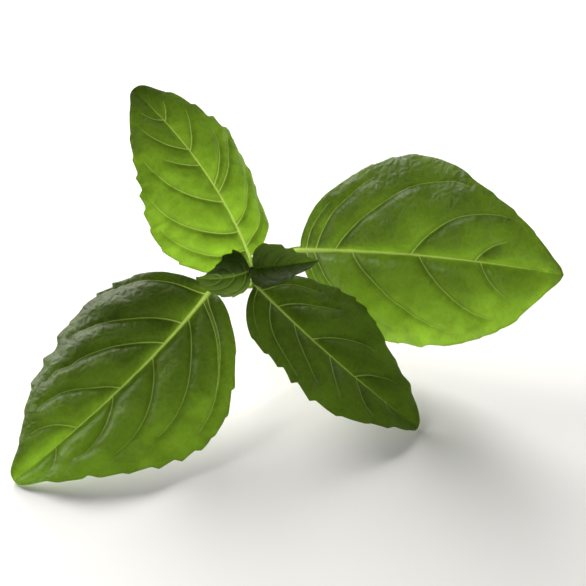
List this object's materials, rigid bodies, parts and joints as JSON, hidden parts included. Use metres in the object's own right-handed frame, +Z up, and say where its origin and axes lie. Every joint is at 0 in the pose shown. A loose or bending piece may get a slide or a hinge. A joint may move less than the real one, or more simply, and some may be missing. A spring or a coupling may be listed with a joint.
{
  "type": "basil sprig",
  "caption": "Cut tip of a sweet basil stem lying on its leaves: opposite pairs of toothed, quilted leaves set crosswise on a square stem, with young leaves and a bud at the tip.",
  "frame": {"origin": "middle of the base of the whole sprig's box, on the surface that it lies on", "axes": "+X along the sprig's longest side, from the tip of the left big leaf towards the tip of the right one; +Y from the two leaf tips that touch the surface towards the cut end of the stem; +Z up"},
  "size_m": [0.1119, 0.059, 0.0579],
  "materials": {
    "stem": "pale green plant stem, satin, slightly translucent",
    "grown_leaf": "satin green leaf with pale sunken veins, bright yellow-green where light comes through it",
    "young_leaf": "darker satin green young leaf"
  },
  "bodies": {
    "root": {"stem": "stem", "big_leaf_left": "grown_leaf", "big_leaf_right": "grown_leaf", "middle_leaf_back": "grown_leaf", "middle_leaf_front": "grown_leaf", "young_leaf_left": "young_leaf", "young_leaf_right": "young_leaf", "tip_bud": "young_leaf"}
  },
  "joints": []
}
